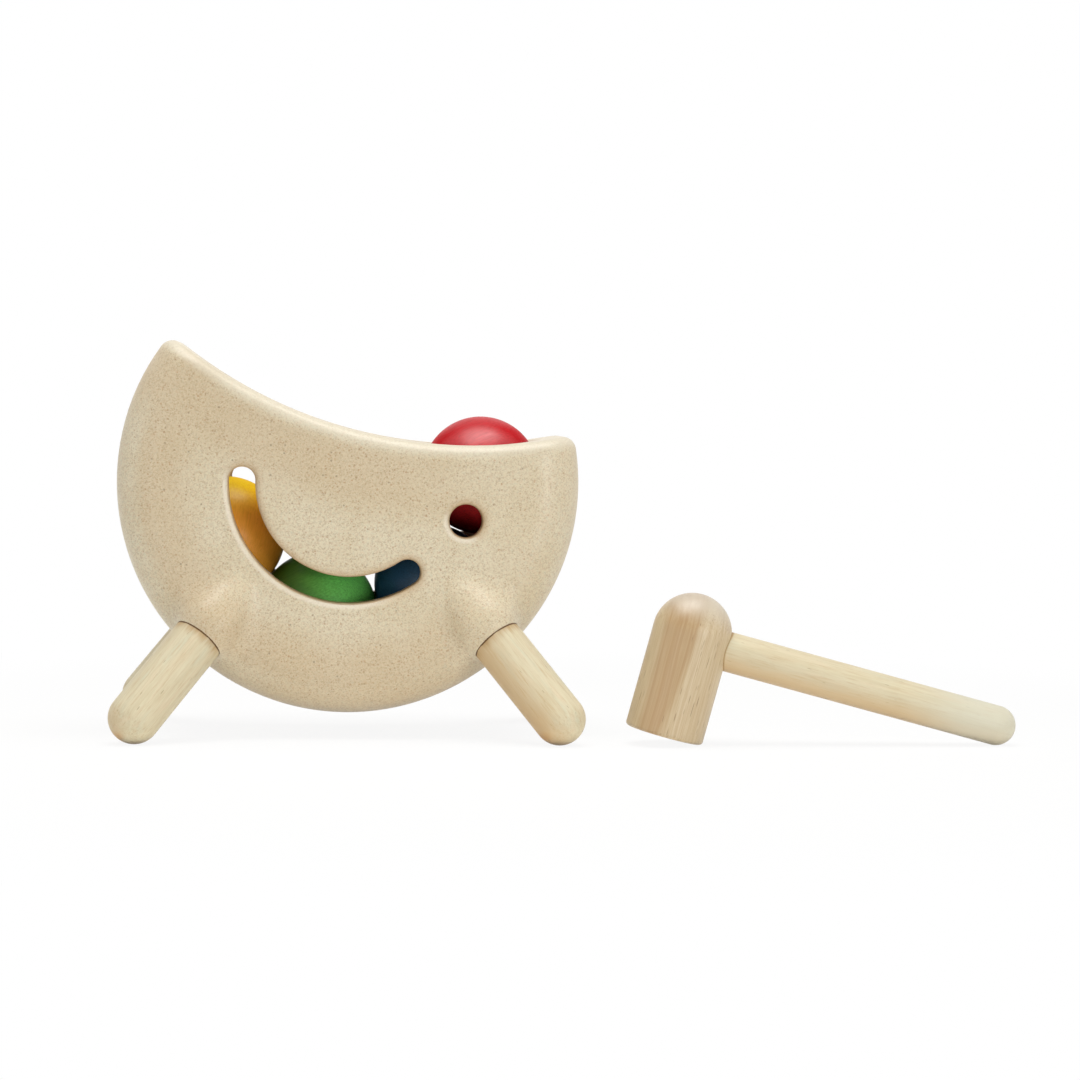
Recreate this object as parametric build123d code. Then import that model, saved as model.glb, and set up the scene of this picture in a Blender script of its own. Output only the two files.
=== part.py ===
from build123d import *
import math
import os

# Ball pounding toy: a pressed-wood body in two halves on four dowel legs, with a round channel
# that four painted balls run through, and a loose wooden hammer beside it.
# Millimetres. X to the right as seen from the front, Y away from the front, Z up.
# The shapes are drawn about the centre of the body's round outline and moved to the floor last.
# Places round that centre are given as angles from straight down, positive towards the right.

# Balls and the channel, on whose outer wall the balls roll
BALL_D = 54.0
BALL_GAP = 0.4
BALL_CLEARANCE = 1.5
ROLLING_GAP = 0.3
INLET_BALL_ANGLE = 93.2
MOUTH_ROUNDING = 2.5

# Groove in the top, down which a ball rolls back to the inlet
GROOVE_DEPTH = 10.0

# Body, and the least wood between the channel and the body's rim and faces
BODY_R = 104.4
RIM_WALL = 16.1
FACE_WALL = 11.5
EDGE_ROUNDING = 20.0
TOP_ARC_R = 210.6
LEFT_HORN_ANGLE = -129.3
RIGHT_HORN_ANGLE = 102.7
TOP_ROUNDING = 6.3

# Smile slot and eye, open through the front and the rear wall
SLOT_W = 11.9
SLOT_INSET = 11.9
SLOT_FIRST_ANGLE = -91.4
SLOT_LAST_ANGLE = 33.6
EYE_D = 15.0
EYE_INSET = 4.7
EYE_ANGLE = 72.6
SLOT_ROUNDING = 3.0

# Legs: dowels with round feet, splayed outwards and towards the front or rear
LEG_D = 23.3
LEG_REACH = 46.9
LEG_LEAN = 39.0
LEG_SPLAY = 22.0
SEAT_ANGLE = 43.7
SEAT_INSET = 7.8
SEAT_STANDOFF = 0.6
SEAT_DEPTH = 17.0
GLUE_GAP = 0.1

# Hips: the swellings of the body that hold the legs
HIP_R = 15.0
HIP_TAIL_R = 11.0
HIP_LENGTH = 36.0
HIP_BLEND = 12.0

# Hammer
HEAD_D = 35.6
HEAD_BELOW_HANDLE = 43.5
HEAD_ABOVE_HANDLE = 4.1
FACE_ROUNDING = 1.6
HANDLE_D = 18.0
HANDLE_LENGTH = 144.3
HANDLE_SEAT_DEPTH = 11.0
HAMMER_X = 152.7
HAMMER_Y = -51.2

# What every cutting shape runs past the surface that it opens
OVERRUN = 20.0

BALL_R = BALL_D / 2
CHANNEL_R = BALL_R + BALL_CLEARANCE
CHANNEL_PATH_R = BODY_R - RIM_WALL - CHANNEL_R
BALL_PATH_R = CHANNEL_PATH_R + BALL_CLEARANCE - ROLLING_GAP
BALL_PITCH = math.degrees(2 * math.asin((BALL_D + BALL_GAP) / 2 / BALL_PATH_R))
HALF_DEPTH = CHANNEL_R + FACE_WALL
BODY_DEPTH = 2 * HALF_DEPTH
LEG_R = LEG_D / 2
HEAD_R = HEAD_D / 2
HANDLE_R = HANDLE_D / 2
FROM_BASE = (Align.CENTER, Align.CENTER, Align.MIN)
BALLS = ("red_ball", "blue_ball", "green_ball", "yellow_ball")
LEGS = {"front_left_leg": (-1, -1), "front_right_leg": (1, -1),
        "rear_left_leg": (-1, 1), "rear_right_leg": (1, 1)}


def place(radius, angle):
    """The point at this radius and angle round the body's centre, in the middle plane."""
    turn = math.radians(angle)
    return Vector(radius * math.sin(turn), 0, -radius * math.cos(turn))


def top_arc_centre():
    """The centre of the hollow top, from the two horns on the body's outline that it joins."""
    half_span = math.radians(360 - RIGHT_HORN_ANGLE + LEFT_HORN_ANGLE) / 2
    middle = RIGHT_HORN_ANGLE + math.degrees(half_span)
    half_chord = BODY_R * math.sin(half_span)
    reach = BODY_R * math.cos(half_span) + math.sqrt(TOP_ARC_R**2 - half_chord**2)
    return place(reach, middle)


TOP_CENTRE = top_arc_centre()
GROOVE_PATH_R = TOP_ARC_R - CHANNEL_R + GROOVE_DEPTH


def mouth_angles():
    """Where a ball changes over between channel and groove, at the inlet and at the exit."""
    reach = TOP_CENTRE.length
    opposite = (CHANNEL_PATH_R**2 + reach**2 - GROOVE_PATH_R**2) / (2 * CHANNEL_PATH_R * reach)
    apart = math.degrees(math.acos(opposite))
    middle = math.degrees(math.atan2(TOP_CENTRE.X, -TOP_CENTRE.Z))
    return middle - apart, middle + apart - 360


INLET_ANGLE, EXIT_ANGLE = mouth_angles()


def leg_direction(side, face):
    """The way a leg points, from its seat to its foot."""
    lean = math.radians(LEG_LEAN)
    splay = math.radians(LEG_SPLAY)
    flat = math.cos(splay)
    return Vector(side * math.sin(lean) * flat, face * math.sin(splay), -math.cos(lean) * flat)


def seat_rim(side, face):
    """The middle of the rim where a leg comes out of its hip."""
    rim = place(BODY_R - SEAT_INSET, side * SEAT_ANGLE)
    return rim + Vector(0, face * (HALF_DEPTH + SEAT_STANDOFF), 0)


def foot_centre(side, face):
    """The centre of a leg's round foot."""
    return seat_rim(side, face) + leg_direction(side, face) * LEG_REACH


def tube_arc(path_radius, first_angle, last_angle):
    """A round tube of the channel's size that is bent round the origin between two angles."""
    section = Pos(X=path_radius) * Circle(CHANNEL_R)
    return Rot(Y=90 - first_angle) * revolve(section, Axis.Y, first_angle - last_angle)


def body_disc():
    """The whole round disc, its rim rounded on both faces."""
    section = Rectangle(BODY_R, BODY_DEPTH, align=(Align.MIN, Align.CENTER))
    section = fillet(section.vertices().group_by(Axis.X)[-1], EDGE_ROUNDING)
    return revolve(section, Axis.Y)


def body_blank():
    """The front half of the disc under the hollow top, with its top edges rounded."""
    disc = body_disc()
    hollow = Pos(TOP_CENTRE) * Rot(X=90) * Cylinder(TOP_ARC_R, BODY_DEPTH + OVERRUN)
    blank = disc - hollow
    blank = fillet(new_edges(disc, hollow, combined=blank), TOP_ROUNDING)
    return split(blank, Plane.XZ, keep=Keep.TOP)


def hip(side, face):
    """One swelling round a leg: a slim cone along the leg that runs smoothly into a round end."""
    along = leg_direction(side, face)
    end = seat_rim(side, face) - along * math.sqrt(HIP_R**2 - LEG_R**2)
    taper = math.asin((HIP_R - HIP_TAIL_R) / HIP_LENGTH)
    inward = Vector(0, -face, 0)
    across = inward - along * inward.dot(along)
    round_end = Plane(origin=end, x_dir=across, z_dir=along)
    cone_end = -HIP_R * math.sin(taper)
    cone_start = -HIP_LENGTH - HIP_TAIL_R * math.sin(taper)
    cone = Pos(Z=cone_start) * Cone(HIP_TAIL_R * math.cos(taper), HIP_R * math.cos(taper),
                                    cone_end - cone_start, align=FROM_BASE)
    return round_end * (cone + Sphere(HIP_R))


def with_hips(blank):
    """The blank with its two front hips blended in."""
    for side in (-1, 1):
        swelling = hip(side, -1)
        joined = blank + swelling
        blank = fillet(new_edges(blank, swelling, combined=joined), HIP_BLEND)
    return blank


def leg_seat(side, face):
    """The space that a leg and its glue take up, from the bottom of the seat to the foot."""
    along = leg_direction(side, face)
    room = Plane(origin=seat_rim(side, face) - along * SEAT_DEPTH, z_dir=along)
    return room * Cylinder(LEG_R + GLUE_GAP, SEAT_DEPTH + LEG_REACH, align=FROM_BASE)


def ball_way():
    """The loop that a ball can run round: the channel from exit to inlet and the groove above."""
    channel = tube_arc(CHANNEL_PATH_R, INLET_ANGLE, EXIT_ANGLE)
    inlet = place(CHANNEL_PATH_R, INLET_ANGLE)
    exit_point = place(CHANNEL_PATH_R, EXIT_ANGLE)
    groove_angles = []
    for corner in (inlet, exit_point):
        away = corner - TOP_CENTRE
        groove_angles.append(math.degrees(math.atan2(away.X, -away.Z)))
    groove = Pos(TOP_CENTRE) * tube_arc(GROOVE_PATH_R, *groove_angles)
    corners = Pos(inlet) * Sphere(CHANNEL_R) + Pos(exit_point) * Sphere(CHANNEL_R)
    return channel + groove + corners


def face_openings():
    """The smile slot and the eye, as one cutting shape through the front wall."""
    swing = SLOT_LAST_ANGLE - SLOT_FIRST_ANGLE
    line = CenterArc((0, 0), CHANNEL_PATH_R - SLOT_INSET, SLOT_FIRST_ANGLE - 90, swing)
    smile = SlotArc(line, SLOT_W)
    centre = place(CHANNEL_PATH_R - EYE_INSET, EYE_ANGLE)
    eye = Pos(centre.X, centre.Z) * Circle(EYE_D / 2)
    return extrude(Plane.XZ * (smile + eye), HALF_DEPTH + OVERRUN)


def round_mouths(shell, uncut):
    """The shell with the lips of the inlet, the exit and the groove rounded."""
    lips = [edge for edge in shell.edges() - uncut.edges() if abs((edge @ 0.5).Y) > GLUE_GAP]
    return fillet(lips, MOUTH_ROUNDING)


def body_front_half():
    """The front shell, with half of the ball way, the face openings and two leg seats."""
    uncut = with_hips(body_blank())
    hollow_shell = round_mouths(uncut - ball_way(), uncut)
    openings = face_openings()
    shell = hollow_shell - openings
    rims = new_edges(hollow_shell, openings, combined=shell).group_by(Axis.Y)[0]
    shell = fillet(rims, SLOT_ROUNDING)
    for side in (-1, 1):
        shell = shell - leg_seat(side, -1)
    return shell


def leg(side, face):
    """One dowel leg with its round foot."""
    along = leg_direction(side, face)
    top = Plane(origin=seat_rim(side, face) - along * SEAT_DEPTH, z_dir=along)
    dowel = top * Cylinder(LEG_R, SEAT_DEPTH + LEG_REACH, align=FROM_BASE)
    return dowel + Pos(foot_centre(side, face)) * Sphere(LEG_R)


def ball(order):
    """One ball of the row, counted from the inlet."""
    return Pos(place(BALL_PATH_R, INLET_BALL_ANGLE - order * BALL_PITCH)) * Sphere(BALL_R)


def hammer_head():
    """The head about the point where its handle's line crosses it, standing upright."""
    dome_z = HEAD_ABOVE_HANDLE
    side_height = HEAD_BELOW_HANDLE + dome_z
    barrel = Pos(Z=-HEAD_BELOW_HANDLE) * Cylinder(HEAD_R, side_height, align=FROM_BASE)
    barrel = fillet(barrel.edges().group_by(Axis.Z)[0], FACE_ROUNDING)
    head = barrel + Pos(Z=dome_z) * Sphere(HEAD_R)
    seat_length = HEAD_R + OVERRUN
    bore = Cylinder(HANDLE_R + GLUE_GAP, seat_length, align=FROM_BASE)
    seat = Pos(X=HEAD_R - HANDLE_SEAT_DEPTH) * Rot(Y=90) * bore
    return head - seat


def hammer_handle():
    """The handle along X, its inner end in the head and its outer end round."""
    start = HEAD_R - HANDLE_SEAT_DEPTH
    dowel = Pos(X=start) * Rot(Y=90) * Cylinder(HANDLE_R, HANDLE_LENGTH - start, align=FROM_BASE)
    return dowel + Pos(X=HANDLE_LENGTH) * Sphere(HANDLE_R)


def hammer_tilt():
    """The angle at which the head's rim and the handle's end both touch the floor."""
    rise = HEAD_BELOW_HANDLE - FACE_ROUNDING
    run = HANDLE_LENGTH - (HEAD_R - FACE_ROUNDING)
    drop = HANDLE_R - FACE_ROUNDING
    return math.degrees(math.acos(drop / math.hypot(rise, run)) - math.atan2(run, rise))


def lay_down(piece):
    """A hammer piece leaned over and set down on the floor, right of the legs."""
    tilt = math.radians(hammer_tilt())
    height = HANDLE_LENGTH * math.sin(tilt) + HANDLE_R
    floor = foot_centre(1, -1).Z - LEG_R
    return Pos(HAMMER_X, HAMMER_Y, floor + height) * Rot(Y=math.degrees(tilt)) * piece


def make_pieces():
    """Every piece of the toy by its name, about the body's centre."""
    front = body_front_half()
    pieces = {"body_front_half": front, "body_rear_half": mirror(front, Plane.XZ)}
    for name, (side, face) in LEGS.items():
        pieces[name] = leg(side, face)
    for order, name in enumerate(BALLS):
        pieces[name] = ball(order)
    pieces["hammer_head"] = lay_down(hammer_head())
    pieces["hammer_handle"] = lay_down(hammer_handle())
    return pieces


def main():
    """Write every piece, with the middle of the whole set's footprint at the origin on the floor."""
    os.makedirs("parts", exist_ok=True)
    pieces = make_pieces()
    box = Compound([solid for piece in pieces.values() for solid in piece.solids()]).bounding_box()
    middle = box.center()
    shift = Vector(-middle.X, -middle.Y, -box.min.Z)
    for name, piece in pieces.items():
        export_step(Pos(shift) * piece, f"parts/{name}.step")
    print("body centre", tuple(round(v, 3) for v in shift))
    print("box", tuple(round(v, 3) for v in box.size))
    print("ball angles", [round(INLET_BALL_ANGLE - n * BALL_PITCH, 3) for n in range(len(BALLS))])
    print("mouth angles", round(INLET_ANGLE, 3), round(EXIT_ANGLE, 3))
    print("hammer tilt", round(hammer_tilt(), 3))


main()
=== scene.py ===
import math

import bpy
from mathutils import Matrix, Vector


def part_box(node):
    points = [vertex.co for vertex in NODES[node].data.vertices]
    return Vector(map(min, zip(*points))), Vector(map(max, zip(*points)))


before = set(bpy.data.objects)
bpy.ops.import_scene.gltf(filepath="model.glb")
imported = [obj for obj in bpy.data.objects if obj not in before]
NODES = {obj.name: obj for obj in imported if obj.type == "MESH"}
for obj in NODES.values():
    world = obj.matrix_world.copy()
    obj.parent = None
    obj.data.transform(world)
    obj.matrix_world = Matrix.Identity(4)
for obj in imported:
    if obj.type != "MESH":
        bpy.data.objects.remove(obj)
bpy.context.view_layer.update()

# Looks, camera and light for the ball pounding toy. Lengths are in mm, as in the part's source,
# and places are given about the centre of the body's round outline. Left and right are as seen
# from the front. A ramp's four numbers say where it starts and ends, and what it goes from and to.
# A ramp with two numbers goes from 0 to 1, or as the comment above it says.
MM = 0.001

# The colour sockets of a mix node, by number
MIX_FIRST = 6
MIX_SECOND = 7
MIX_RESULT = 2

# The camera of the photograph: its place, the way it points, its lens, and how near and how far
# it sees
CAMERA_PLACE = (-20.5, -1509.0, 38.7)
CAMERA_DOWN_DEG = 2.460
CAMERA_RIGHT_DEG = 4.138
CAMERA_ROLL_DEG = 0.609
CAMERA_LENS = 109.34
CAMERA_SENSOR = 36.0
CAMERA_NEAR = 10.0
CAMERA_FAR = 100000.0

# Soft lights: place, width and depth, and power in watts. Then their colour, the strength of the
# world's even light, and the white that is seen behind the toy
LIGHTS = {
    "overhead_strip": ((60, -150, 900), (1000, 150), 3.05),
    "overhead_light": ((0, -50, 1100), (900, 900), 9.2),
    "low_right_light": ((700, -1100, -60), (500, 500), 7.3),
    "low_left_light": ((-700, -1100, -60), (500, 500), 2.4),
    "left_light": ((-1200, -100, 100), (900, 900), 2.2),
    "right_light": ((1200, -100, 100), (900, 900), 1.9),
}
LIGHT_COLOUR = (1.0, 0.99, 0.975)
WORLD_LIGHT = 0.2
BACKDROP_WHITE = (1, 1, 1, 1)

# The floor: half its side, its colour, and how much plain white covers it from near the toy to
# far from it
FLOOR_HALF = 20000.0
FLOOR_WHITE = (0.93, 0.93, 0.92, 1)
FLOOR_GLOW = (230.0, 520.0, 0.90, 1.0)

# How a leg points, where the rim of its seat is, on the right-hand side towards the rear, and
# how far along it the centre of its round foot is
LEG_LEAN_DEG = 39.0
LEG_SPLAY_DEG = 22.0
LEG_SEAT = (66.74, 40.6, -69.84)
FOOT_REACH = 46.9

# Where the hammer's two middle lines cross, how far it leans, and its head's radius
HAMMER_CROSSING = (152.7, -51.2, -69.02)
HAMMER_TILT_DEG = 14.965
HEAD_RADIUS = 17.8

# The body's round outline, the arc of its hollow top, the smile slot's middle line with its two
# ends from straight down, and the eye
OUTLINE_RADIUS = 104.4
TOP_ARC_RADIUS = 210.6
TOP_ARC_PLACE = (53.9, 0.0, 228.0)
SLOT_RADIUS = 47.9
SLOT_FIRST_DEG = -91.4
SLOT_LAST_DEG = 33.6
SLOT_HALF = 5.95
EYE_PLACE = (52.58, 0.0, -16.48)
EYE_RADIUS = 7.5

# Colours of the pressed wood
CREAM = (0.700, 0.616, 0.433, 1)
LIGHT_CREAM = (0.735, 0.662, 0.488, 1)
WARM_CREAM = (0.560, 0.408, 0.234, 1)
# Painted sheen on the band below the hollow top
SHEEN_CREAM = (0.640, 0.590, 0.475, 1)
# Painted highlight on the lips' outer side; the tan is their edge and the painted shade on their
# inner side
LIP_HIGHLIGHT_CREAM = (0.800, 0.730, 0.600, 1)
LIP_TAN = (0.500, 0.320, 0.160, 1)
DUST = (0.430, 0.300, 0.165, 1)
PINK_DUST = (0.650, 0.455, 0.300, 1)
GREY_DUST = (0.560, 0.560, 0.450, 1)
BROWN_SPECK = (0.290, 0.160, 0.070, 1)
RUST_SPECK = (0.440, 0.195, 0.075, 1)
DARK_SPECK = (0.120, 0.090, 0.060, 1)
SEAM_BROWN = (0.400, 0.290, 0.170, 1)

# Its slow drift from one cream to the other: features per mm, and the ramp over the noise
TONE_DRIFT_SCALE = 0.045
TONE_DRIFT = (0.35, 0.65)

# Its mottling: features per mm, the shift of the pattern, the ramp over the noise, and the colour
MOTTLING = (
    (0.75, (0, 0, 0), (0.46, 0.70, 0.0, 0.58), PINK_DUST),
    (0.80, (40, 90, 20), (0.48, 0.70, 0.0, 0.58), GREY_DUST),
)

# Its single grains: how many per mm, and for the dark and the pale ones the random number that
# chooses them, how rare they are, how strong and of which colour
GRAINS_PER_MM = 1.9
GRAINS = (("Red", 2.6, 0.62, DUST), ("Green", 4.0, 0.35, LIGHT_CREAM))

# Its specks, the fine ones and the coarse ones: cells per mm, radius as a share of a cell, shift,
# strength, and the colour besides rust
SPECKS = (
    (0.95, 0.62, (0, 0, 0), 0.40, BROWN_SPECK),
    (0.30, 0.20, (7, 3, 5), 0.50, DARK_SPECK),
)

# The share of the cells that have a speck at a crowding of 1, the share of its radius within
# which a speck or a pore is solid, and how the crowding drifts over the wood
SPECK_SHARE = 0.26
SPECK_CORE = 0.5
CROWDING_DRIFT_SCALE = 0.10
CROWDING_DRIFT = (0.35, 0.65, 0.35, 1.2)

# Belts of crowded specks and warmer wood inside the outline and under the hollow top: the
# distances from the edge at which each starts, is full, starts to fade and ends
OUTLINE_BELT = (6.0, 14.0, 22.0, 42.0)
TOP_BELT = (4.0, 9.0, 22.0, 42.0)
BELT_CROWDING = 0.7
BELT_WARMTH = 0.44

# How the belts fade and the specks thin out towards the right, how the specks set in from the
# edges, how the painted sheen ends below the top, and how the warmth of the underside ends upwards
BELT_FADE = (10.0, 70.0, 1.0, 0.25)
SPECKS_THIN_OUT = (45.0, 85.0, 1.0, 0.55)
CLEAR_EDGE = (2.0, 9.0, 0.1, 1.0)
SHEEN_BAND = (2.5, 7.0, 0.60, 0.0)
WARM_UNDERSIDE = (-98.0, -72.0, 0.9, 0.0)

# Lips of the openings, by distance from their edge: the tan edge, the painted shade on the inner
# side, and the painted highlight on the outer side, which starts, is full, starts to fade and ends
LIP_EDGE = (0.1, 0.9, 0.60, 0.0)
LIP_SHADE = (0.5, 4.5, 0.36, 0.0)
LIP_HIGHLIGHT_BAND = (0.3, 0.9, 1.7, 3.2)
LIP_HIGHLIGHT_STRENGTH = 0.62

# The outer side of the slot's lip, where the highlight is painted, from its middle line outwards,
# and how it ends upwards and towards the right; and the outer side of the eye's lip
SLOT_OUTER_ACROSS = (-1.0, 4.0)
SLOT_OUTER_UP = (0.0, 8.0, 1.0, 0.0)
SLOT_OUTER_RIGHT = (6.0, 26.0, 1.0, 0.0)
EYE_OUTER_SIDE = (-1, 0, -1.2)
EYE_OUTER = (0.0, 7.0)

# The fine line where the halves meet, by the distance from their plane
SEAM_LINE = (0.08, 0.30, 0.45, 0.0)

# Relief: features per mm of the fuzz on the pressed wood, and the depth on each kind of surface
FUZZ_SCALE = 0.9
FUZZ_DEPTH = 0.03
DOWEL_DEPTH = 0.03
HEAD_DEPTH = 0.04
PAINT_DEPTH = 0.04

# The heights of a texture between which a surface's roughness changes
ROUGHNESS_SPLIT = (0.3, 0.7)

# Colours of the dowels, their stains, and the painted shade and shadow on their seats, sides and
# feet
STRAW = (0.703, 0.634, 0.450, 1)
DARK_STRAW = (0.610, 0.515, 0.330, 1)
PALE_STRAW = (0.745, 0.690, 0.515, 1)
END_STRAW = (0.650, 0.660, 0.560, 1)
FLECK = (0.560, 0.420, 0.235, 1)
PEACH = (0.725, 0.590, 0.410, 1)
COOL_STRAW = (0.640, 0.630, 0.480, 1)
DOWEL_PORE = (0.340, 0.240, 0.120, 1)
# Painted shade on the right legs' lower left sides, the handle's underside and the feet's left
# sides
SHADE_STRAW = (0.610, 0.430, 0.230, 1)
# Stain and painted shade beside the leg seats, and the seat line, a joint with painted shadow in
# its crease
STAIN_AND_SHADE = (0.440, 0.265, 0.105, 1)
SEAT_LINE = (0.100, 0.040, 0.010, 1)
JOINT_LINE = (0.380, 0.220, 0.075, 1)
# Painted shadow under the feet, and painted shade on their left sides
FOOT_SHADOW_BROWN = (0.330, 0.210, 0.095, 1)
FOOT_SHADE_ORANGE = (0.560, 0.320, 0.120, 1)

# Streaks along the grain: features per mm across and along it, noise detail and roughness
STREAKS = {
    "fibres": ((2.2, 2.2, 0.05), 3, 0.7),
    "flecks": ((1.15, 1.15, 0.085), 3, 0.7),
    "patches": ((0.30, 0.30, 0.040), 2, 0.6),
    "painted": ((1.6, 1.6, 0.09), 3, 0.65),
}

# Layers of a dowel's colour, the first one lowest: its streaks and their shift, the ramp over
# them, and its colour
DOWEL_LAYERS = (
    ("patches", (3, 9, 1), (0.30, 0.60, 0.45, 0.0), DARK_STRAW),
    ("patches", (14, 2, 6), (0.50, 0.75, 0.0, 0.55), PEACH),
    ("patches", (5, 21, 8), (0.50, 0.75, 0.0, 0.60), COOL_STRAW),
    ("fibres", (0, 0, 0), (0.42, 0.68, 0.0, 0.55), DARK_STRAW),
    ("flecks", (11, 4, 17), (0.50, 0.72, 0.0, 0.62), FLECK),
    ("flecks", (11, 4, 17), (0.28, 0.46, 0.45, 0.0), PALE_STRAW),
)

# Pores: cells per mm across and along the grain, radius as a share of a cell, the share of the
# cells that have one, which in the hammer head falls from its right to its left, and strength
DOWEL_PORES = ((0.95, 0.95, 0.16), 0.30, 0.22, 0.6)
HEAD_PORES = ((1.35, 1.35, 0.11), 0.34, (-6.0, 6.0, 0.95, 0.25), 0.72)
PAINT_PORES = ((1.25, 1.25, 0.45), 0.34, 0.40, 0.5)

# Shifts that give each dowel its own piece of wood
LEG_SHIFT = (31.7, 17.3, 53.1)
HANDLE_SHIFT = (207.0, 121.0, 371.0)

# The stain and painted shade beside a leg's seat: how they fade along the leg, how ragged they are,
# the features per mm of that, and how much stain has soaked in from place to place
STAIN_SHADE_FADE = (1.5, 8.0, 0.85, 0.0)
STAIN_SHADE_RAGGED = 5.0
STAIN_SHADE_RAGGED_SCALE = (0.8, 0.8, 0.05)
SOAKED_SCALE = (0.10, 0.10, 0.03)
SOAKED = (0.36, 0.56, 0.35, 1.0)

# The dark line in the seat, a joint with painted shadow in its crease: its width, how it gets wider
# where more has soaked in, the share of the width in which it is full, and its strength
SEAT_LINE_WIDTH = 0.8
SEAT_LINE_SPREAD = (0.35, 0.9, 0.55, 1.0)
SEAT_LINE_CORE = 0.4
SEAT_LINE_STRENGTH = 0.95

# Painted shade on the lower left sides of the right legs and on the handle's underside: which way
# the legs' shaded side faces, and how each sets in
LEG_SHADED_SIDE = (-0.777, 0, -0.629)
LEG_SHADE = (-4.0, 11.0, 0.0, 0.8)
HANDLE_SHADE = (-2.5, 8.0, 0.0, 0.8)

# Painted shade on a foot's left side: how each sets in towards the left and fades with the height,
# and its colour. Then the painted shadow below by its height, how ragged it is and the features
# per mm of that
FOOT_SHADES = (
    ((2.0, 9.0), (9.0, 22.0, 0.45, 0.0), SHADE_STRAW),
    ((3.0, 7.0), (3.0, 8.0, 0.75, 0.0), FOOT_SHADE_ORANGE),
)
FOOT_SHADOW_HEIGHT = (0.9, 3.2, 0.75, 0.0)
FOOT_RAGGED = 1.5
FOOT_RAGGED_SCALE = 0.25

# The handle: how much darker it is than a leg, how it pales along it towards its end, and the
# stained line round it by the distance from the head
HANDLE_DARKER = 0.2
HANDLE_END = (95.0, 135.0, 0.0, 0.55)
JOINT_STAIN = (0.0, 0.8, 0.8, 0.0)

# The hammer head's colours
HEAD_PALE = (0.620, 0.505, 0.322, 1)
HEAD_BROWN = (0.420, 0.262, 0.118, 1)
HEAD_PORE = (0.240, 0.135, 0.055, 1)
# Painted sheen on the dome
DOME_SHEEN_PALE = (0.600, 0.560, 0.480, 1)

# Its brown stripe starts, is full, starts to fade and ends at these distances to the left of the
# middle line. It waves, by so much and with so many features per mm, and its right side leans
HEAD_STRIPE = (-3.0, 2.0, 12.5, 15.8)
STRIPE_WAVE = 5.0
STRIPE_WAVE_SCALE = (0.06, 0.06, 0.015)
STRIPE_LEAN = 0.11
STRIPE_STRENGTH = 0.62

# Its faint bands: features per mm across the head and from front to rear, and their ramp. Then
# the ramp of its fibres, and how the painted sheen on its dome fades downwards along the middle
# line
FAINT_BANDS_ACROSS = 0.45
FAINT_BANDS_REARWARD = 0.12
FAINT_BANDS = (0.42, 0.72, 0.0, 0.45)
HEAD_FIBRES = (0.40, 0.68, 0.0, 0.5)
DOME_SHEEN = (-19.0, -7.0, 0.55, 0.0)

# Paints: the colour on a ball's painted shaded side, on its painted lit side, and in its pores;
# the way the ball's grain runs; the side that is painted lit, and from where to where; and its
# gloss
PAINTS = {
    "red_ball": {
        "painted_shade_colour": (0.510, 0.013, 0.018, 1), "painted_lit_colour": (0.780, 0.036, 0.044, 1),
        "pore": (0.270, 0.003, 0.005, 1), "grain": (0.9, 0.3, 0.4),
        "painted_lit_side": (0, -1, -0.2), "painted_lit_span": (16.0, 25.0), "gloss": 0.50},
    "blue_ball": {
        "painted_shade_colour": (0.024, 0.085, 0.165, 1), "painted_lit_colour": (0.028, 0.100, 0.210, 1),
        "pore": (0.008, 0.030, 0.065, 1), "grain": (1.0, 0.3, 0.2),
        "painted_lit_side": (1, 0, 0), "painted_lit_span": (-10.0, 10.0), "gloss": 0.22},
    "green_ball": {
        "painted_shade_colour": (0.120, 0.300, 0.055, 1), "painted_lit_colour": (0.170, 0.620, 0.130, 1),
        "pore": (0.040, 0.180, 0.030, 1), "grain": (0.9, -0.2, 0.5),
        "painted_lit_side": (1, 0, 0), "painted_lit_span": (-12.0, 12.0), "gloss": 0.22},
    "yellow_ball": {
        "painted_shade_colour": (0.890, 0.382, 0.048, 1), "painted_lit_colour": (0.800, 0.555, 0.010, 1),
        "pore": (0.640, 0.270, 0.010, 1), "grain": (0.2, 0.4, 1.0),
        "painted_lit_side": (0, 0, 1), "painted_lit_span": (8.0, 25.0), "gloss": 0.22},
}

# How the streaks show through the paint, and how strong their relief is beside that of the pores
PAINT_SHOWING = (0.35, 0.7, 0.0, 0.45)
STREAK_RELIEF = 0.8

# The paint's gloss goes from full, where a ball faces the eye, to the rim's gloss. At the rim it
# is low, but towards the ball's polished side it rises to a share of the full gloss
FACING_GLOSS = (0.28, 0.54)
RIM_GLOSS = 0.02
POLISHED_SHARE = 0.3
POLISHED_SIDE = (-0.1, 0, 1)
POLISHED_REACH = (19.0, 25.0)


def body_centre():
    """The centre of the body's round outline, in the plane where its halves meet."""
    low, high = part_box("body_front_half")
    radius = (high.x - low.x) / 2
    return Vector(((low.x + high.x) / 2, high.y, low.z + radius))


CENTRE = body_centre()


def about_centre(place):
    """The place in the scene of a place given about the body's centre."""
    return CENTRE + Vector(place) * MM


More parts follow.
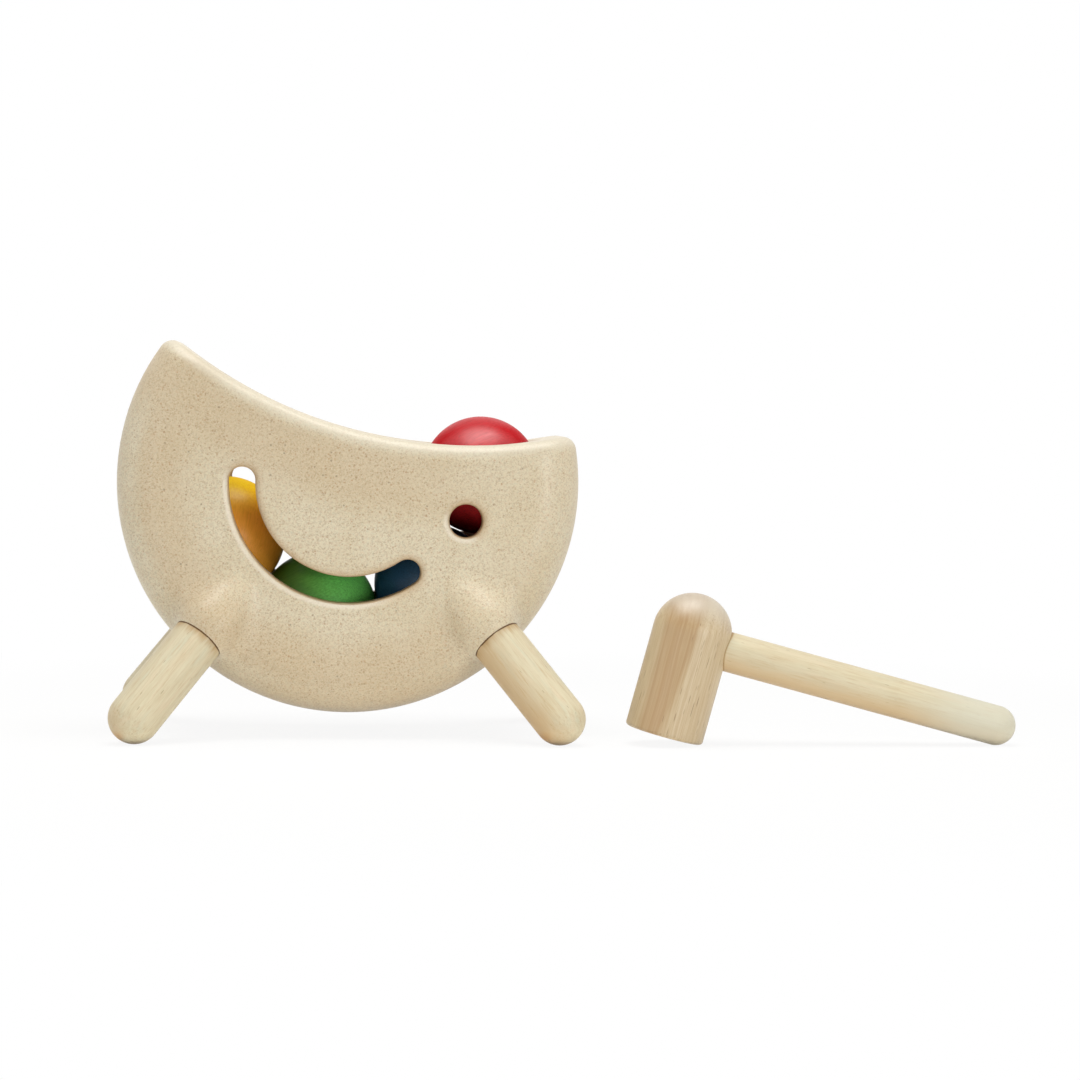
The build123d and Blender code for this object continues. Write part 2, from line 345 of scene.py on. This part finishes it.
class Surface:
    """A material with a few short words for building its nodes. Its coordinates are in mm."""

    def __init__(self, name, roughness, specular):
        """The material with plain values, in place of which outputs may be linked later."""
        self.material = bpy.data.materials.new(name)
        self.material.use_nodes = True
        self.tree = self.material.node_tree
        self.shader = self.tree.nodes["Principled BSDF"]
        self.shader.inputs["Roughness"].default_value = roughness
        self.shader.inputs["Specular IOR Level"].default_value = specular
        coordinates = self.tree.nodes.new("ShaderNodeTexCoord")
        self.place = self.scaled(coordinates.outputs["Object"], (1 / MM,) * 3)

    def feed(self, node, name, value):
        """Links an output to a node's input, or sets the input to a value."""
        if isinstance(value, bpy.types.NodeSocket):
            self.tree.links.new(value, node.inputs[name])
        else:
            node.inputs[name].default_value = value

    def scaled(self, vector, scale=(1, 1, 1), rotation=(0, 0, 0), location=(0, 0, 0)):
        """The vector scaled, then turned, then moved."""
        node = self.tree.nodes.new("ShaderNodeMapping")
        self.feed(node, "Vector", vector)
        node.inputs["Scale"].default_value = scale
        node.inputs["Rotation"].default_value = rotation
        node.inputs["Location"].default_value = location
        return node.outputs["Vector"]

    def parts(self, vector):
        """The three numbers of a vector."""
        node = self.tree.nodes.new("ShaderNodeSeparateXYZ")
        self.feed(node, "Vector", vector)
        return node.outputs

    def joined(self, x, y, z):
        """A vector of three numbers."""
        node = self.tree.nodes.new("ShaderNodeCombineXYZ")
        for name, value in (("X", x), ("Y", y), ("Z", z)):
            self.feed(node, name, value)
        return node.outputs["Vector"]

    def about(self, place):
        """Coordinates about a place in the scene."""
        return self.scaled(self.place, location=-Vector(place) / MM)

    def along(self, start, direction):
        """Coordinates whose Z runs along a piece from its start."""
        turn = Vector(direction).normalized().rotation_difference(Vector((0, 0, 1))).to_matrix()
        location = -(turn @ Vector(start) / MM)
        return self.scaled(self.place, rotation=turn.to_euler(), location=location)

    def toward(self, vector, direction):
        """How far a vector reaches along a direction."""
        node = self.tree.nodes.new("ShaderNodeVectorMath")
        node.operation = "DOT_PRODUCT"
        self.feed(node, 0, vector)
        self.feed(node, 1, Vector(direction).normalized())
        return node.outputs["Value"]

    def across(self, vector, first="X", second="Z"):
        """The length of a vector in the plane of two of its axes."""
        parts = self.parts(vector)
        squares = [self.times(parts[axis], parts[axis]) for axis in (first, second)]
        return self.reckon("SQRT", self.plus(*squares))

    def noise(self, vector, scale=1.0, detail=2.0, roughness=0.5):
        """Noise from 0 to 1, its features about 1 / scale long."""
        node = self.tree.nodes.new("ShaderNodeTexNoise")
        self.feed(node, "Vector", vector)
        self.feed(node, "Scale", scale)
        self.feed(node, "Detail", detail)
        self.feed(node, "Roughness", roughness)
        return node.outputs["Fac"]

    def cells(self, vector, scale):
        """Distance to the nearest of scattered points, and three random numbers for that point."""
        node = self.tree.nodes.new("ShaderNodeTexVoronoi")
        self.feed(node, "Vector", vector)
        self.feed(node, "Scale", scale)
        split = self.tree.nodes.new("ShaderNodeSeparateColor")
        self.feed(split, "Color", node.outputs["Color"])
        return node.outputs["Distance"], split.outputs

    def reckon(self, operation, first, second=0.0):
        """One step of arithmetic."""
        node = self.tree.nodes.new("ShaderNodeMath")
        node.operation = operation
        self.feed(node, 0, first)
        self.feed(node, 1, second)
        return node.outputs[0]

    def plus(self, first, second):
        """The sum of two numbers."""
        return self.reckon("ADD", first, second)

    def minus(self, first, second):
        """The first number less the second."""
        return self.reckon("SUBTRACT", first, second)

    def times(self, first, second):
        """The product of two numbers."""
        return self.reckon("MULTIPLY", first, second)

    def ramp(self, value, start, end, first=0.0, last=1.0):
        """Goes smoothly from first to last while the value goes from start to end."""
        node = self.tree.nodes.new("ShaderNodeMapRange")
        node.interpolation_type = "SMOOTHSTEP"
        for name, given in (("Value", value), ("From Min", start), ("From Max", end),
                            ("To Min", first), ("To Max", last)):
            self.feed(node, name, given)
        return node.outputs["Result"]

    def band(self, value, start, full, last, end):
        """1 between full and last, 0 before start and after end."""
        return self.times(self.ramp(value, start, full), self.ramp(value, last, end, 1.0, 0.0))

    def mix(self, factor, first, second):
        """Two colours mixed."""
        node = self.tree.nodes.new("ShaderNodeMix")
        node.data_type = "RGBA"
        self.feed(node, "Factor", factor)
        self.feed(node, MIX_FIRST, first)
        self.feed(node, MIX_SECOND, second)
        return node.outputs[MIX_RESULT]

    def specks(self, vector, scale, radius, share):
        """Small specks: 1 inside one, and the random numbers of each."""
        distance, random = self.cells(vector, scale)
        edge = self.times(random["Green"], radius)
        inside = self.ramp(distance, self.times(edge, SPECK_CORE), edge, 1.0, 0.0)
        chosen = self.reckon("LESS_THAN", random["Red"], share)
        return self.times(inside, chosen), random

    def pores(self, place, scale, radius, share):
        """Pores drawn out along the grain: 1 inside one."""
        return self.specks(self.scaled(place, scale), 1.0, radius, share)[0]

    def streaks(self, kind, place, shift=(0, 0, 0)):
        """Streaks of one kind along the grain, from 0 to 1."""
        scale, detail, roughness = STREAKS[kind]
        return self.noise(self.scaled(place, scale, location=shift), 1.0, detail, roughness)

    def bump(self, height, depth):
        """Relief from a height between 0 and 1."""
        node = self.tree.nodes.new("ShaderNodeBump")
        node.inputs["Strength"].default_value = 1.0
        node.inputs["Distance"].default_value = depth * MM
        self.feed(node, "Height", height)
        self.feed(self.shader, "Normal", node.outputs["Normal"])

    def finish(self, colour, texture, roughness):
        """Sets the colour, and a roughness that goes from one value to another with a texture."""
        self.feed(self.shader, "Base Color", colour)
        self.feed(self.shader, "Roughness", self.ramp(texture, *ROUGHNESS_SPLIT, *roughness))
        return self.material


def dress(node, material):
    """Gives a CAD node its material."""
    mesh = NODES[node].data
    mesh.materials.clear()
    mesh.materials.append(material)


def sawdust_tone(wood):
    """Cream that drifts a little, with faint pinkish and greyish mottling."""
    drift = wood.ramp(wood.noise(wood.place, TONE_DRIFT_SCALE), *TONE_DRIFT)
    colour = wood.mix(drift, CREAM, LIGHT_CREAM)
    for scale, shift, mottled, dust in MOTTLING:
        place = wood.scaled(wood.place, location=shift)
        height = wood.noise(place, scale, detail=3, roughness=0.8)
        colour = wood.mix(wood.ramp(height, *mottled), colour, dust)
    return colour


def sawdust_grains(wood, colour):
    """Single grains half a millimetre across, some of them a little darker or paler."""
    random = wood.cells(wood.place, GRAINS_PER_MM)[1]
    for number, rareness, strength, tone in GRAINS:
        share = wood.reckon("POWER", random[number], rareness)
        colour = wood.mix(wood.times(share, strength), colour, tone)
    return colour


def sawdust_specks(wood, colour, crowding):
    """Many faint fine specks and a few coarse dark ones, more of both where they crowd."""
    share = wood.times(crowding, SPECK_SHARE)
    for scale, radius, shift, strength, tone in SPECKS:
        place = wood.scaled(wood.place, location=shift)
        inside, random = wood.specks(place, scale, radius, share)
        shade = wood.mix(random["Blue"], tone, RUST_SPECK)
        colour = wood.mix(wood.times(inside, strength), colour, shade)
    return colour


def body_zones(wood):
    """How thickly the specks lie, how warm the wood is, and where the sheen below the top is
    painted.
    """
    drift = wood.noise(wood.place, CROWDING_DRIFT_SCALE, detail=3, roughness=0.65)
    drift = wood.ramp(drift, *CROWDING_DRIFT)
    place = wood.about(CENTRE)
    parts = wood.parts(place)
    inside = wood.minus(OUTLINE_RADIUS, wood.across(place))
    below = wood.minus(wood.across(wood.about(about_centre(TOP_ARC_PLACE))), TOP_ARC_RADIUS)
    belts = wood.reckon("MAXIMUM", wood.band(inside, *OUTLINE_BELT), wood.band(below, *TOP_BELT))
    belts = wood.times(belts, wood.ramp(parts["X"], *BELT_FADE))
    clear = wood.ramp(wood.reckon("MINIMUM", inside, below), *CLEAR_EDGE)
    clear = wood.times(clear, wood.ramp(parts["X"], *SPECKS_THIN_OUT))
    crowding = wood.times(wood.plus(drift, wood.times(belts, BELT_CROWDING)), clear)
    warmth = wood.reckon("MAXIMUM", belts, wood.ramp(parts["Z"], *WARM_UNDERSIDE))
    return crowding, warmth, wood.ramp(below, *SHEEN_BAND)


def slot_distance(wood, place):
    """How far a place is from the edge of the smile slot, as seen from the front."""
    parts = wood.parts(place)
    angle = wood.reckon("ARCTAN2", parts["X"], wood.times(parts["Z"], -1.0))
    held = wood.reckon("MAXIMUM", angle, math.radians(SLOT_FIRST_DEG))
    held = wood.reckon("MINIMUM", held, math.radians(SLOT_LAST_DEG))
    off_x = wood.plus(parts["X"], wood.times(wood.reckon("SINE", held), -SLOT_RADIUS))
    off_z = wood.plus(parts["Z"], wood.times(wood.reckon("COSINE", held), SLOT_RADIUS))
    return wood.minus(wood.across(wood.joined(off_x, 0.0, off_z)), SLOT_HALF)


def opening_lip(wood, colour, distance, outer):
    """An opening's rounded lip: a tan edge, then a painted highlight on its outer side and painted
    shade, tan, on its inner.
    """
    shade = wood.times(wood.minus(1.0, outer), wood.ramp(distance, *LIP_SHADE))
    colour = wood.mix(shade, colour, LIP_TAN)
    pale = wood.times(wood.times(wood.band(distance, *LIP_HIGHLIGHT_BAND), outer), LIP_HIGHLIGHT_STRENGTH)
    colour = wood.mix(pale, colour, LIP_HIGHLIGHT_CREAM)
    return wood.mix(wood.ramp(distance, *LIP_EDGE), colour, LIP_TAN)


def lips(wood, colour):
    """The lips of the slot and of the eye, with their painted highlight and shade."""
    place = wood.about(CENTRE)
    parts = wood.parts(place)
    low = wood.ramp(parts["Z"], *SLOT_OUTER_UP)
    left = wood.ramp(parts["X"], *SLOT_OUTER_RIGHT)
    outer = wood.ramp(wood.minus(wood.across(place), SLOT_RADIUS), *SLOT_OUTER_ACROSS)
    outer = wood.times(outer, wood.times(low, left))
    colour = opening_lip(wood, colour, slot_distance(wood, place), outer)
    place = wood.about(about_centre(EYE_PLACE))
    outer = wood.ramp(wood.toward(place, EYE_OUTER_SIDE), *EYE_OUTER)
    return opening_lip(wood, colour, wood.minus(wood.across(place), EYE_RADIUS), outer)


def glued_seam(wood, colour):
    """A fine darker line where the two halves meet."""
    off_seam = wood.reckon("ABSOLUTE", wood.parts(wood.about(CENTRE))["Y"])
    return wood.mix(wood.ramp(off_seam, *SEAM_LINE), colour, SEAM_BROWN)


def pressed_wood():
    """Fine pressed sawdust, sanded even, with a painted sheen below the hollow top."""
    wood = Surface("pressed_wood_look", roughness=0.4, specular=0.45)
    crowding, warmth, painted_sheen = body_zones(wood)
    colour = wood.mix(wood.times(warmth, BELT_WARMTH), sawdust_tone(wood), WARM_CREAM)
    colour = sawdust_specks(wood, sawdust_grains(wood, colour), crowding)
    # Painted sheen: a paler band with fewer marks below the hollow top
    colour = wood.mix(painted_sheen, colour, SHEEN_CREAM)
    colour = glued_seam(wood, lips(wood, colour))
    fuzz = wood.noise(wood.place, FUZZ_SCALE, detail=4, roughness=0.8)
    wood.bump(fuzz, FUZZ_DEPTH)
    return wood.finish(colour, fuzz, roughness=(0.46, 0.36))


def dowel_colour(wood, place):
    """A dowel's colour, and its relief of fine streaks and short pores."""
    colour = STRAW
    for kind, shift, layered, tone in DOWEL_LAYERS:
        height = wood.streaks(kind, place, shift)
        colour = wood.mix(wood.ramp(height, *layered), colour, tone)
    scale, radius, share, strength = DOWEL_PORES
    pores = wood.pores(place, scale, radius, share)
    colour = wood.mix(wood.times(pores, strength), colour, DOWEL_PORE)
    return colour, wood.minus(wood.streaks("fibres", place), pores)


def dowel_finish(wood, colour, place, relief):
    """Finishes a dowel's wood, which is smoother along its fine streaks."""
    wood.bump(relief, DOWEL_DEPTH)
    return wood.finish(colour, wood.streaks("fibres", place), roughness=(0.50, 0.40))


def shaded_side(wood, colour, start, direction, warmth):
    """Painted shade, warmer and darker, on the side of a dowel that faces a direction."""
    facing = wood.toward(wood.about(start), direction)
    return wood.mix(wood.ramp(facing, *warmth), colour, SHADE_STRAW)


def seat_stain_and_shadow(wood, place, colour):
    """The dark line where a leg comes out of its seat, a joint with painted shadow in the crease,
    and the uneven stain with painted shade beside it.
    """
    along = wood.parts(place)["Z"]
    ragged = wood.times(wood.noise(wood.scaled(place, STAIN_SHADE_RAGGED_SCALE)), STAIN_SHADE_RAGGED)
    soaked = wood.ramp(wood.noise(wood.scaled(place, SOAKED_SCALE)), *SOAKED)
    fading = wood.ramp(wood.plus(along, ragged), *STAIN_SHADE_FADE)
    colour = wood.mix(wood.times(soaked, fading), colour, STAIN_AND_SHADE)
    width = wood.times(wood.ramp(soaked, *SEAT_LINE_SPREAD), SEAT_LINE_WIDTH)
    core = wood.times(width, SEAT_LINE_CORE)
    line = wood.ramp(along, core, width, SEAT_LINE_STRENGTH, 0.0)
    return wood.mix(line, colour, SEAT_LINE)


def foot_shadow(wood, colour, start, direction):
    """Painted shadow, brown, under a foot where it stands on the floor, and painted shade, warmer,
    on its left side.
    """
    height = wood.parts(wood.place)["Z"]
    left = wood.toward(wood.about(start + direction * FOOT_REACH * MM), (-1, 0, 0))
    for aside, up, tone in FOOT_SHADES:
        painted_shade = wood.times(wood.ramp(left, *aside), wood.ramp(height, *up))
        colour = wood.mix(painted_shade, colour, tone)
    ragged = wood.times(wood.noise(wood.place, FOOT_RAGGED_SCALE), FOOT_RAGGED)
    brown = wood.ramp(wood.plus(height, ragged), *FOOT_SHADOW_HEIGHT)
    return wood.mix(brown, colour, FOOT_SHADOW_BROWN)


def leg_line(side, face):
    """The middle of a leg's seat rim, and the way the leg points."""
    lean = math.radians(LEG_LEAN_DEG)
    splay = math.radians(LEG_SPLAY_DEG)
    flat = math.cos(splay)
    direction = Vector((side * math.sin(lean) * flat, face * math.sin(splay),
                        -math.cos(lean) * flat))
    seat_x, seat_y, seat_z = LEG_SEAT
    return about_centre((side * seat_x, face * seat_y, seat_z)), direction


def leg_wood(name, side, face, number):
    """A leg's pale wood, its grain along the leg."""
    wood = Surface(name + "_look", roughness=0.45, specular=0.25)
    start, direction = leg_line(side, face)
    place = wood.along(start, direction)
    moved = wood.scaled(place, location=[number * shift for shift in LEG_SHIFT])
    colour, relief = dowel_colour(wood, moved)
    # Painted shade on the lower left side of a right leg
    if side > 0:
        colour = shaded_side(wood, colour, start, LEG_SHADED_SIDE, LEG_SHADE)
    colour = foot_shadow(wood, seat_stain_and_shadow(wood, place, colour), start, direction)
    return dowel_finish(wood, colour, moved, relief)


def hammer_lines():
    """Where the hammer's middle lines cross, the way down its head, and the way out to the
    handle's end."""
    tilt = math.radians(HAMMER_TILT_DEG)
    down = Vector((-math.sin(tilt), 0, -math.cos(tilt)))
    out = Vector((math.cos(tilt), 0, -math.sin(tilt)))
    return about_centre(HAMMER_CROSSING), down, out


def handle_wood():
    """The handle's pale wood, with painted shade on its underside and a fine stained line where it
    goes into the head.
    """
    wood = Surface("handle_look", roughness=0.45, specular=0.35)
    crossing, down, out = hammer_lines()
    place = wood.along(crossing, out)
    moved = wood.scaled(place, location=HANDLE_SHIFT)
    colour, relief = dowel_colour(wood, moved)
    colour = wood.mix(HANDLE_DARKER, colour, DARK_STRAW)
    # Painted shade on the handle's underside
    colour = shaded_side(wood, colour, crossing, down, HANDLE_SHADE)
    colour = wood.mix(wood.ramp(wood.parts(place)["Z"], *HANDLE_END), colour, END_STRAW)
    outside = wood.minus(wood.across(wood.along(crossing, down), "X", "Y"), HEAD_RADIUS)
    colour = wood.mix(wood.ramp(outside, *JOINT_STAIN), colour, JOINT_LINE)
    return dowel_finish(wood, colour, moved, relief)


def head_bands(wood, place):
    """The head's long bands: a brown stripe left of the middle, and fainter ones beside it."""
    start, full, last, end = HEAD_STRIPE
    parts = wood.parts(place)
    wavy = wood.times(wood.noise(wood.scaled(place, STRIPE_WAVE_SCALE)), STRIPE_WAVE)
    left = wood.minus(wood.plus(parts["X"], wavy), STRIPE_WAVE / 2)
    leaning = wood.minus(left, wood.times(parts["Z"], STRIPE_LEAN))
    stripe = wood.times(wood.ramp(leaning, start, full), wood.ramp(left, last, end, 1.0, 0.0))
    rearward = wood.times(parts["Y"], FAINT_BANDS_REARWARD)
    faint = wood.joined(wood.times(left, FAINT_BANDS_ACROSS), rearward, 0.0)
    faint = wood.ramp(wood.noise(faint, detail=3, roughness=0.6), *FAINT_BANDS)
    return wood.plus(wood.times(stripe, STRIPE_STRENGTH), faint)


def head_wood():
    """The hammer head's darker wood: long bands, fine streaks and long pores."""
    wood = Surface("head_look", roughness=0.42, specular=0.6)
    crossing, down = hammer_lines()[:2]
    place = wood.along(crossing, down)
    parts = wood.parts(place)
    colour = wood.mix(head_bands(wood, place), HEAD_PALE, HEAD_BROWN)
    fibres = wood.streaks("fibres", place)
    colour = wood.mix(wood.ramp(fibres, *HEAD_FIBRES), colour, HEAD_BROWN)
    scale, radius, leftward_share, strength = HEAD_PORES
    pores = wood.pores(place, scale, radius, wood.ramp(parts["X"], *leftward_share))
    colour = wood.mix(wood.times(pores, strength), colour, HEAD_PORE)
    # Painted sheen: the dome pales towards its top
    colour = wood.mix(wood.ramp(parts["Z"], *DOME_SHEEN), colour, DOME_SHEEN_PALE)
    wood.bump(wood.minus(fibres, pores), HEAD_DEPTH)
    return wood.finish(colour, fibres, roughness=(0.45, 0.35))


def paint_gloss(paint, place, gloss):
    """Gloss that is full where the ball faces the eye and low at its rim."""
    polished = paint.toward(place, POLISHED_SIDE)
    rim = paint.ramp(polished, *POLISHED_REACH, RIM_GLOSS, gloss * POLISHED_SHARE)
    facing = paint.tree.nodes.new("ShaderNodeLayerWeight").outputs["Facing"]
    return paint.ramp(facing, *FACING_GLOSS, gloss, rim)


def ball_paint(name):
    """Satin paint on a wooden ball, with the wood's streaks and pores just showing through."""
    look = PAINTS[name]
    paint = Surface(name + "_look", roughness=0.36, specular=0.22)
    low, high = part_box(name)
    centre = (low + high) / 2
    grain = paint.along(centre, look["grain"])
    streaks = paint.streaks("painted", grain)
    scale, radius, share, strength = PAINT_PORES
    pores = paint.pores(grain, scale, radius, share)
    paint.bump(paint.minus(paint.times(streaks, STREAK_RELIEF), pores), PAINT_DEPTH)
    place = paint.about(centre)
    paint.feed(paint.shader, "Specular IOR Level", paint_gloss(paint, place, look["gloss"]))
    # Painted light and shade: each ball is lighter on one side and darker on the other
    painted_lit = paint.ramp(paint.toward(place, look["painted_lit_side"]), *look["painted_lit_span"])
    colour = paint.mix(painted_lit, look["painted_shade_colour"], look["painted_lit_colour"])
    showing = paint.plus(paint.ramp(streaks, *PAINT_SHOWING), paint.times(pores, strength))
    colour = paint.mix(showing, colour, look["pore"])
    return paint.finish(colour, streaks, roughness=(0.32, 0.42))


def make_looks():
    """Every CAD node's material."""
    body = pressed_wood()
    for name in ("body_front_half", "body_rear_half"):
        dress(name, body)
    for number, (side, face) in enumerate(((-1, -1), (1, -1), (-1, 1), (1, 1)), 1):
        name = ("front" if face < 0 else "rear") + ("_left" if side < 0 else "_right") + "_leg"
        dress(name, leg_wood(name, side, face, number))
    dress("hammer_handle", handle_wood())
    dress("hammer_head", head_wood())
    for name in PAINTS:
        dress(name, ball_paint(name))


def make_camera():
    """The photograph's camera."""
    down = math.radians(CAMERA_DOWN_DEG)
    aside = math.radians(CAMERA_RIGHT_DEG)
    roll = math.radians(CAMERA_ROLL_DEG)
    ahead = Vector((math.sin(aside) * math.cos(down), math.cos(aside) * math.cos(down),
                    -math.sin(down)))
    right = Vector((math.cos(aside), -math.sin(aside), 0))
    up = right.cross(ahead)
    rolled_right = right * math.cos(roll) + up * math.sin(roll)
    rolled_up = up * math.cos(roll) - right * math.sin(roll)
    turned = Matrix((rolled_right, rolled_up, -ahead)).transposed()
    data = bpy.data.cameras.new("photo_camera")
    data.lens = CAMERA_LENS
    data.sensor_width = CAMERA_SENSOR
    data.clip_start = CAMERA_NEAR * MM
    data.clip_end = CAMERA_FAR * MM
    camera = bpy.data.objects.new("photo_camera", data)
    camera.matrix_world = Matrix.Translation(about_centre(CAMERA_PLACE)) @ turned.to_4x4()
    bpy.context.scene.collection.objects.link(camera)
    bpy.context.scene.camera = camera


def make_light(name, place, size, power):
    """A soft light that faces the toy."""
    data = bpy.data.lights.new(name, "AREA")
    data.shape = "RECTANGLE"
    data.size, data.size_y = (side * MM for side in size)
    data.energy = power
    data.color = LIGHT_COLOUR
    light = bpy.data.objects.new(name, data)
    light.location = about_centre(place)
    light.rotation_mode = "QUATERNION"
    light.rotation_quaternion = (CENTRE - light.location).to_track_quat("-Z", "Y")
    bpy.context.scene.collection.objects.link(light)


def seen_directly(tree):
    """1 for a ray that the camera, a reflection or a see-through surface sends."""
    path = tree.nodes.new("ShaderNodeLightPath")
    total = path.outputs["Is Camera Ray"]
    for name in ("Is Glossy Ray", "Is Transmission Ray"):
        node = tree.nodes.new("ShaderNodeMath")
        node.operation = "MAXIMUM"
        tree.links.new(total, node.inputs[0])
        tree.links.new(path.outputs[name], node.inputs[1])
        total = node.outputs[0]
    return total


def make_world():
    """White where it is seen, and a plain even light on the toy."""
    world = bpy.data.worlds.new("studio")
    bpy.context.scene.world = world
    world.use_nodes = True
    tree = world.node_tree
    tree.nodes.clear()
    seen = tree.nodes.new("ShaderNodeBackground")
    seen.inputs["Color"].default_value = BACKDROP_WHITE
    seen.inputs["Strength"].default_value = 1.0
    lit = tree.nodes.new("ShaderNodeBackground")
    lit.inputs["Color"].default_value = (*LIGHT_COLOUR, 1)
    lit.inputs["Strength"].default_value = WORLD_LIGHT
    mix = tree.nodes.new("ShaderNodeMixShader")
    output = tree.nodes.new("ShaderNodeOutputWorld")
    tree.links.new(seen_directly(tree), mix.inputs[0])
    tree.links.new(lit.outputs[0], mix.inputs[1])
    tree.links.new(seen.outputs[0], mix.inputs[2])
    tree.links.new(mix.outputs[0], output.inputs["Surface"])


def floor_look():
    """White that keeps a soft shadow near the toy and fades into the white backdrop far from it."""
    floor = Surface("floor_look", roughness=0.9, specular=0.1)
    floor.shader.inputs["Base Color"].default_value = FLOOR_WHITE
    glow = floor.ramp(floor.across(floor.place, "X", "Y"), *FLOOR_GLOW)
    shine = floor.tree.nodes.new("ShaderNodeEmission")
    mix = floor.tree.nodes.new("ShaderNodeMixShader")
    floor.feed(mix, 0, floor.times(seen_directly(floor.tree), glow))
    floor.feed(mix, 1, floor.shader.outputs[0])
    floor.feed(mix, 2, shine.outputs[0])
    floor.feed(floor.tree.nodes["Material Output"], "Surface", mix.outputs[0])
    return floor.material


def make_floor():
    """A large floor under the toy."""
    mesh = bpy.data.meshes.new("floor")
    corners = [Vector((x, y, 0)) * FLOOR_HALF * MM for x, y in ((-1, -1), (1, -1), (1, 1), (-1, 1))]
    mesh.from_pydata(corners, [], [(0, 1, 2, 3)])
    mesh.materials.append(floor_look())
    floor = bpy.data.objects.new("floor", mesh)
    bpy.context.scene.collection.objects.link(floor)


make_looks()
make_camera()
for light_name, light in LIGHTS.items():
    make_light(light_name, *light)
make_world()
make_floor()
bpy.context.scene.view_settings.view_transform = "Standard"
